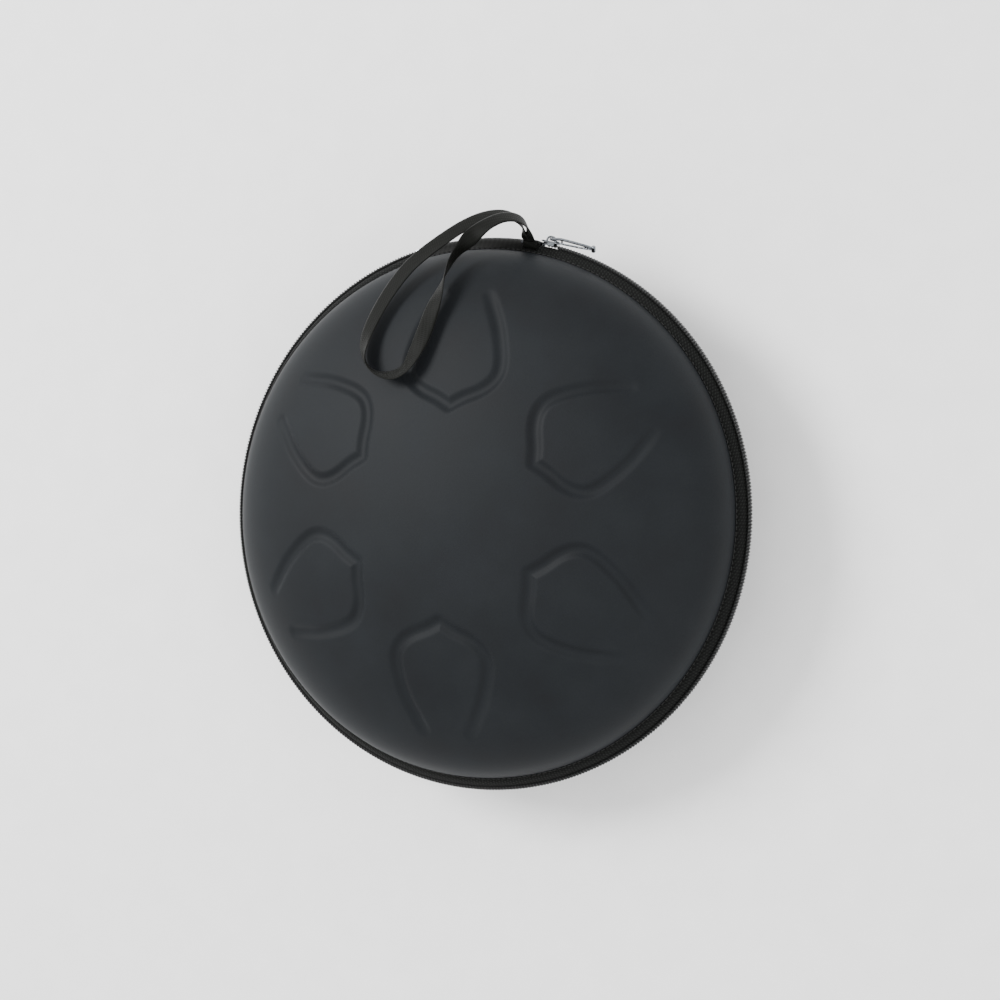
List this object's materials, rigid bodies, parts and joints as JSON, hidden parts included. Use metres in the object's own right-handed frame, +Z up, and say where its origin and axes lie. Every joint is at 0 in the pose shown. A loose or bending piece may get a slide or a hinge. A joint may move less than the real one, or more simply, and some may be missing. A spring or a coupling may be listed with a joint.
{
  "type": "handpan zip case",
  "caption": "Round moulded-foam zip case for a small handpan: two pressed shells, fabric hinge, coil zip with slider and pull, ribbon carrying loop.",
  "frame": {"origin": "centre of the rear shell's flat resting face, straight under the case's axis", "axes": "+Z up out of the domed front shell, +Y towards the sewn hinge, +X to its right seen from the front; the rim's mid-plane is at z 0.0642 m"},
  "size_m": [0.3416, 0.3523, 0.1284],
  "materials": {
    "shell_skin": "matte polyurethane-coated fabric",
    "shell_foam": "closed-cell EVA foam",
    "lining": "brushed knitted lining",
    "binding": "woven binding tape",
    "zip_tape": "woven polyester zip tape",
    "zip_coil": "nylon monofilament coil",
    "hinge_fabric": "close-woven satin cloth",
    "thread": "bonded nylon thread",
    "ribbon": "woven polyester ribbon",
    "slider_metal": "nickel-plated die-cast zinc"
  },
  "bodies": {
    "base": {"rear_skin": "shell_skin", "rear_foam": "shell_foam", "rear_lining": "lining", "rear_binding": "binding", "rear_tape": "zip_tape", "rear_coil": "zip_coil", "rear_end_stop": "slider_metal", "rear_top_stop": "slider_metal", "rear_seam_thread": "thread", "hinge_strip": "hinge_fabric", "hinge_facing": "binding", "strip_tack_left": "thread", "strip_tack_right": "thread"},
    "lid": {"front_skin": "shell_skin", "front_foam": "shell_foam", "front_lining": "lining", "front_binding": "binding", "front_tape": "zip_tape", "front_coil": "zip_coil", "front_end_stop": "slider_metal", "front_seam_thread": "thread", "strap_tack": "ribbon", "strap_loop": "ribbon"},
    "slider": {"slider_body": "slider_metal", "slider_bail": "slider_metal"},
    "pull": {"pull_tab": "slider_metal"}
  },
  "joints": [
    {"name": "lid_hinge", "type": "hinge", "parent": "base", "child": "lid", "pos_m": [0, 0.17405, 0.063], "axis": [-1, 0, 0], "range_deg": [0, 179], "deforming": ["hinge_strip", "hinge_facing", "strip_tack_left", "strip_tack_right"]},
    {"name": "zip_travel", "type": "hinge", "parent": "base", "child": "slider", "pos_m": [0, 0, 0.0642], "axis": [0, 0, -1], "range_deg": [0, 327]},
    {"name": "pull_swing", "type": "hinge", "parent": "slider", "child": "pull", "pos_m": [0.05167, 0.16599, 0.0642], "axis": [0, 0, 1], "range_deg": [0, 160]}
  ]
}
